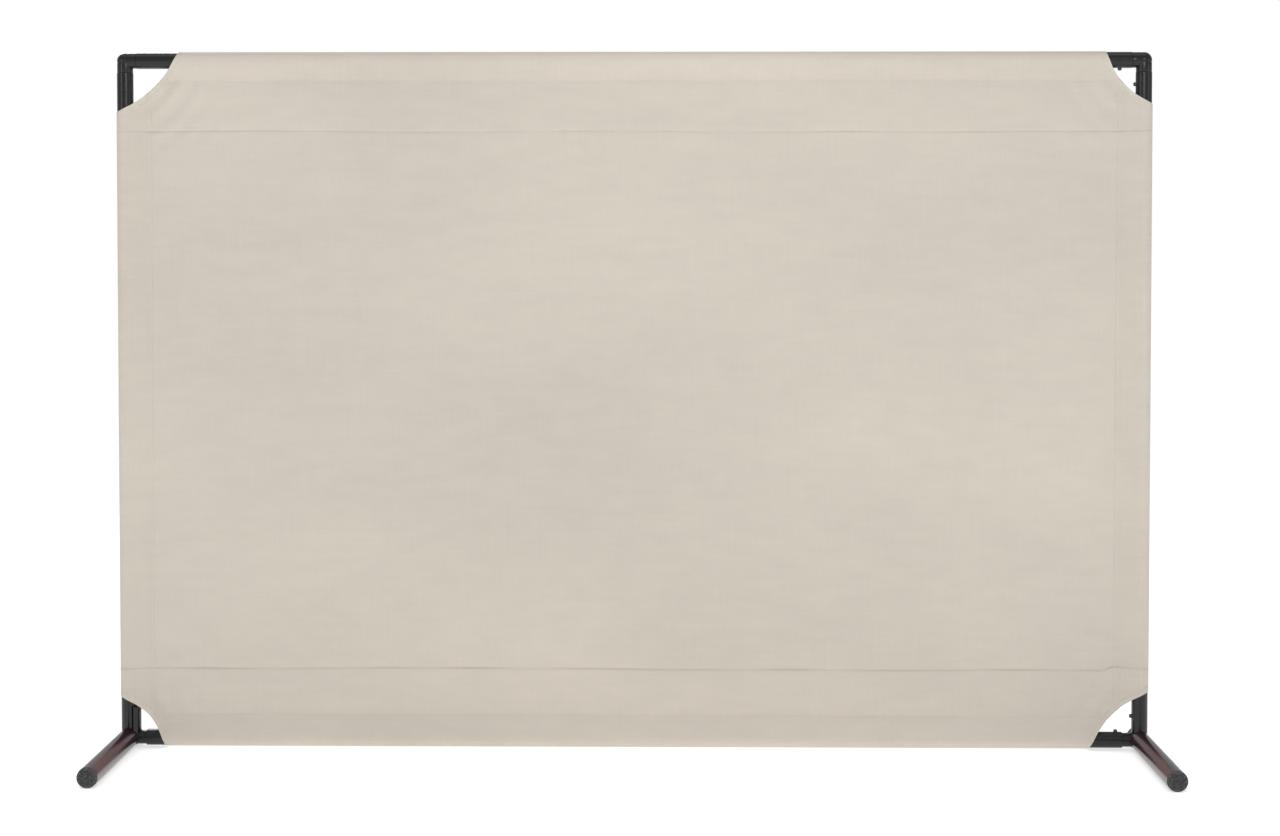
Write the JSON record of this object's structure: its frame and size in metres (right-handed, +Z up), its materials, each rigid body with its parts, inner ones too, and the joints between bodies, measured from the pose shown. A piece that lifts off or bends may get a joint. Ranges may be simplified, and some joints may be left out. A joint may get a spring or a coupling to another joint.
{
  "type": "welding curtain screen",
  "caption": "Free-standing welding screen: a canvas curtain with a pocket on each side, on a black tube frame with two forward legs and snap buttons.",
  "frame": {"origin": "on the floor, in the middle of the ground that the screen covers", "axes": "+X to the right seen from the front, +Y to the back, away from the legs, +Z up"},
  "size_m": [1.8352, 0.335, 1.2387],
  "materials": {
    "black_powder_coat": "gloss",
    "cap_plastic": "matte",
    "button_steel": "satin",
    "spring_steel": "satin",
    "canvas": "matte"
  },
  "bodies": {
    "screen": {"top_rail": "black_powder_coat", "bottom_rail": "black_powder_coat", "left_upright": "black_powder_coat", "right_upright": "black_powder_coat", "top_left_elbow": "black_powder_coat", "top_right_elbow": "black_powder_coat", "left_leg_tube": "black_powder_coat", "right_leg_tube": "black_powder_coat", "left_rail_spigot": "black_powder_coat", "left_upright_spigot": "black_powder_coat", "right_rail_spigot": "black_powder_coat", "right_upright_spigot": "black_powder_coat", "left_front_cap": "cap_plastic", "left_rear_cap": "cap_plastic", "right_front_cap": "cap_plastic", "right_rear_cap": "cap_plastic", "left_upright_saddle": "black_powder_coat", "cover_panel": "canvas", "top_pocket": "canvas", "bottom_pocket": "canvas", "left_pocket": "canvas", "right_pocket": "canvas", "top_left_rail_spring": "spring_steel", "top_left_upright_spring": "spring_steel", "top_right_rail_spring": "spring_steel", "top_right_upright_spring": "spring_steel", "bottom_left_rail_spring": "spring_steel", "bottom_left_upright_spring": "spring_steel", "bottom_right_rail_spring": "spring_steel", "bottom_right_upright_spring": "spring_steel"},
    "top_left_rail_button": {"top_left_rail_button": "button_steel"},
    "top_left_upright_button": {"top_left_upright_button": "button_steel"},
    "top_right_rail_button": {"top_right_rail_button": "button_steel"},
    "top_right_upright_button": {"top_right_upright_button": "button_steel"},
    "bottom_left_rail_button": {"bottom_left_rail_button": "button_steel"},
    "bottom_left_upright_button": {"bottom_left_upright_button": "button_steel"},
    "bottom_right_rail_button": {"bottom_right_rail_button": "button_steel"},
    "bottom_right_upright_button": {"bottom_right_upright_button": "button_steel"}
  },
  "joints": [
    {"name": "top_left_rail_button_press", "type": "slide", "parent": "screen", "child": "top_left_rail_button", "axis": [0, -1, 0], "range_m": [0, 0.0047], "stiffness_N_per_m": 900, "springref_m": -0.003, "deforming": ["top_left_rail_spring"]},
    {"name": "top_left_upright_button_press", "type": "slide", "parent": "screen", "child": "top_left_upright_button", "axis": [0, -1, 0], "range_m": [0, 0.0047], "stiffness_N_per_m": 900, "springref_m": -0.003, "deforming": ["top_left_upright_spring"]},
    {"name": "top_right_rail_button_press", "type": "slide", "parent": "screen", "child": "top_right_rail_button", "axis": [0, 0, 1], "range_m": [0, 0.0047], "stiffness_N_per_m": 900, "springref_m": -0.003, "deforming": ["top_right_rail_spring"]},
    {"name": "top_right_upright_button_press", "type": "slide", "parent": "screen", "child": "top_right_upright_button", "axis": [1, 0, 0], "range_m": [0, 0.0047], "stiffness_N_per_m": 900, "springref_m": -0.003, "deforming": ["top_right_upright_spring"]},
    {"name": "bottom_left_rail_button_press", "type": "slide", "parent": "screen", "child": "bottom_left_rail_button", "axis": [0, -1, 0], "range_m": [0, 0.0047], "stiffness_N_per_m": 900, "springref_m": -0.003, "deforming": ["bottom_left_rail_spring"]},
    {"name": "bottom_left_upright_button_press", "type": "slide", "parent": "screen", "child": "bottom_left_upright_button", "axis": [0, -1, 0], "range_m": [0, 0.0047], "stiffness_N_per_m": 900, "springref_m": -0.003, "deforming": ["bottom_left_upright_spring"]},
    {"name": "bottom_right_rail_button_press", "type": "slide", "parent": "screen", "child": "bottom_right_rail_button", "axis": [0, 0, -1], "range_m": [0, 0.0047], "stiffness_N_per_m": 900, "springref_m": -0.003, "deforming": ["bottom_right_rail_spring"]},
    {"name": "bottom_right_upright_button_press", "type": "slide", "parent": "screen", "child": "bottom_right_upright_button", "axis": [1, 0, 0], "range_m": [0, 0.0047], "stiffness_N_per_m": 900, "springref_m": -0.003, "deforming": ["bottom_right_upright_spring"]}
  ]
}
